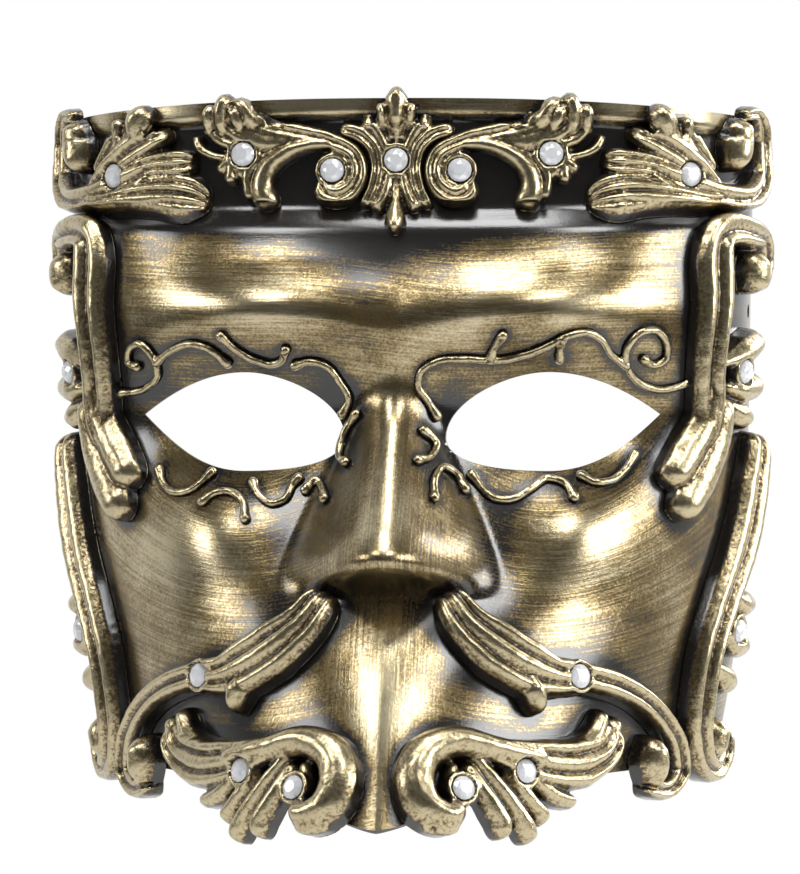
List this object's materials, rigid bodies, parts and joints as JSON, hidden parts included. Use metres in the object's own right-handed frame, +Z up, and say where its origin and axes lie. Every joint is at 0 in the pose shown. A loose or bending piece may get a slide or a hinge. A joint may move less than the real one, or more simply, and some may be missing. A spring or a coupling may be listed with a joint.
{
  "type": "venetian masquerade mask",
  "caption": "Full-face carnival mask with a jutting lower face, carved scroll ornaments, filigree lines round the eye holes and set rhinestones; worn over the face.",
  "frame": {"origin": "middle of the flat rear rim's plane, at the height of the eyes, where the wearer's face is", "axes": "+Z up, +X to the viewer's right as the mask is seen from the front, +Y back towards the wearer; the mask faces -Y"},
  "size_m": [0.1854, 0.1055, 0.1907],
  "materials": {
    "shell_paint": "antique gold dry-brushed over gloss black",
    "carved_gold": "antique gold over black, worn bright on the ridges",
    "filigree_gold": "squeezed paste line in antique gold",
    "rhinestone": "clear faceted stone with a foiled back"
  },
  "bodies": {
    "root": {"face_shell": "shell_paint", "top_palmette": "carved_gold", "left_acanthus_scroll": "carved_gold", "left_corner_leaf": "carved_gold", "left_upper_side_scroll": "carved_gold", "left_lower_side_scroll": "carved_gold", "left_moustache_leaf": "carved_gold", "left_beard_scroll": "carved_gold", "right_acanthus_scroll": "carved_gold", "right_corner_leaf": "carved_gold", "right_upper_side_scroll": "carved_gold", "right_lower_side_scroll": "carved_gold", "right_moustache_leaf": "carved_gold", "right_beard_scroll": "carved_gold", "left_filigree_1": "filigree_gold", "left_filigree_2": "filigree_gold", "left_filigree_3": "filigree_gold", "left_filigree_4": "filigree_gold", "left_filigree_5": "filigree_gold", "left_filigree_6": "filigree_gold", "left_filigree_7": "filigree_gold", "left_filigree_8": "filigree_gold", "right_filigree_1": "filigree_gold", "right_filigree_2": "filigree_gold", "right_filigree_3": "filigree_gold", "right_filigree_4": "filigree_gold", "right_filigree_5": "filigree_gold", "top_palmette_gem_1": "rhinestone", "left_acanthus_scroll_gem_1": "rhinestone", "left_acanthus_scroll_gem_2": "rhinestone", "left_corner_leaf_gem_1": "rhinestone", "left_upper_side_scroll_gem_1": "rhinestone", "left_lower_side_scroll_gem_1": "rhinestone", "left_moustache_leaf_gem_1": "rhinestone", "left_beard_scroll_gem_1": "rhinestone", "left_beard_scroll_gem_2": "rhinestone", "right_acanthus_scroll_gem_1": "rhinestone", "right_acanthus_scroll_gem_2": "rhinestone", "right_corner_leaf_gem_1": "rhinestone", "right_upper_side_scroll_gem_1": "rhinestone", "right_lower_side_scroll_gem_1": "rhinestone", "right_moustache_leaf_gem_1": "rhinestone", "right_beard_scroll_gem_1": "rhinestone", "right_beard_scroll_gem_2": "rhinestone"}
  },
  "joints": []
}
